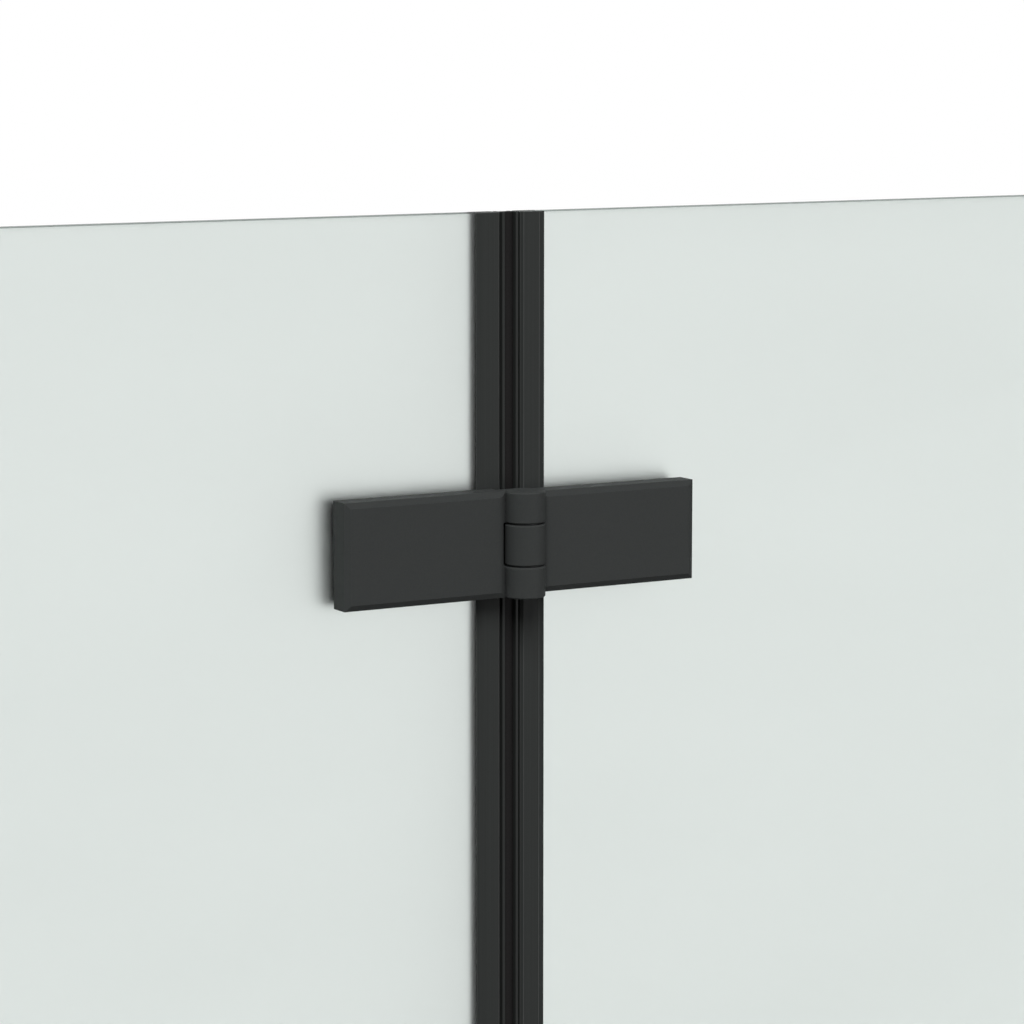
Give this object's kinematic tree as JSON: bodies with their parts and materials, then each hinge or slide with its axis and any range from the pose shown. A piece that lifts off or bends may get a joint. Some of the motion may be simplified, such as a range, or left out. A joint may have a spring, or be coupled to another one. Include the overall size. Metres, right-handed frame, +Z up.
{
  "type": "folding bath screen",
  "caption": "Folding bath screen: an inner frosted glass panel turns on a wall profile, and an outer panel folds flat against it on clamp hinges.",
  "frame": {"origin": "foot of the wall channel's back face, in the middle of its width, at the level of the bath rim", "axes": "+X from the wall to the free edge, +Z up, -Y towards the side with the hinge barrels"},
  "size_m": [1.2, 0.0404, 1.4],
  "materials": {
    "black_anodised_profile": "satin black",
    "black_coated_hinge": "satin black coating",
    "frosted_glass": "frosted toughened glass",
    "black_rubber": "matt",
    "black_nylon": "matt",
    "stainless_steel": "satin"
  },
  "bodies": {
    "wall_side": {"wall_channel": "black_anodised_profile", "adjusting_profile": "black_anodised_profile", "top_cap": "black_nylon", "upper_pivot_bracket": "black_nylon", "lower_pivot_bracket": "black_nylon", "upper_pivot_pin": "stainless_steel", "lower_pivot_pin": "stainless_steel", "bracket_screws": "stainless_steel", "lock_screws": "stainless_steel", "lock_screw_caps": "black_nylon", "pivot_seal_beads": "black_rubber"},
    "inner_panel": {"glass_carrier": "black_anodised_profile", "glazing_gasket": "black_rubber", "upper_pivot_bush": "black_nylon", "lower_pivot_bush": "black_nylon", "inner_glass": "frosted_glass", "inner_edge_profile": "black_anodised_profile", "inner_joint_seal": "black_rubber", "inner_bottom_seal": "black_rubber", "upper_hinge_inner_leaf": "black_coated_hinge", "upper_hinge_inner_clamp": "black_coated_hinge", "upper_hinge_inner_pads": "black_rubber", "upper_hinge_inner_sleeves": "black_nylon", "upper_hinge_inner_screws": "stainless_steel", "upper_hinge_pin": "stainless_steel", "upper_hinge_pin_cap": "black_nylon", "upper_hinge_washers": "black_nylon", "lower_hinge_inner_leaf": "black_coated_hinge", "lower_hinge_inner_clamp": "black_coated_hinge", "lower_hinge_inner_pads": "black_rubber", "lower_hinge_inner_sleeves": "black_nylon", "lower_hinge_inner_screws": "stainless_steel", "lower_hinge_pin": "stainless_steel", "lower_hinge_pin_cap": "black_nylon", "lower_hinge_washers": "black_nylon"},
    "outer_panel": {"outer_glass": "frosted_glass", "outer_edge_profile": "black_anodised_profile", "outer_joint_seal": "black_rubber", "outer_bottom_seal": "black_rubber", "upper_hinge_outer_leaf": "black_coated_hinge", "upper_hinge_outer_clamp": "black_coated_hinge", "upper_hinge_outer_pads": "black_rubber", "upper_hinge_outer_sleeves": "black_nylon", "upper_hinge_outer_screws": "stainless_steel", "upper_hinge_bush": "black_nylon", "lower_hinge_outer_leaf": "black_coated_hinge", "lower_hinge_outer_clamp": "black_coated_hinge", "lower_hinge_outer_pads": "black_rubber", "lower_hinge_outer_sleeves": "black_nylon", "lower_hinge_outer_screws": "stainless_steel", "lower_hinge_bush": "black_nylon"}
  },
  "joints": [
    {"name": "wall_pivot", "type": "hinge", "parent": "wall_side", "child": "inner_panel", "pos_m": [0.044, 0, 0.7], "axis": [0, 0, 1], "range_deg": [-90, 90]},
    {"name": "panel_fold", "type": "hinge", "parent": "inner_panel", "child": "outer_panel", "pos_m": [0.63, -0.0147, 0.7], "axis": [0, 0, -1], "range_deg": [0, 180]}
  ]
}
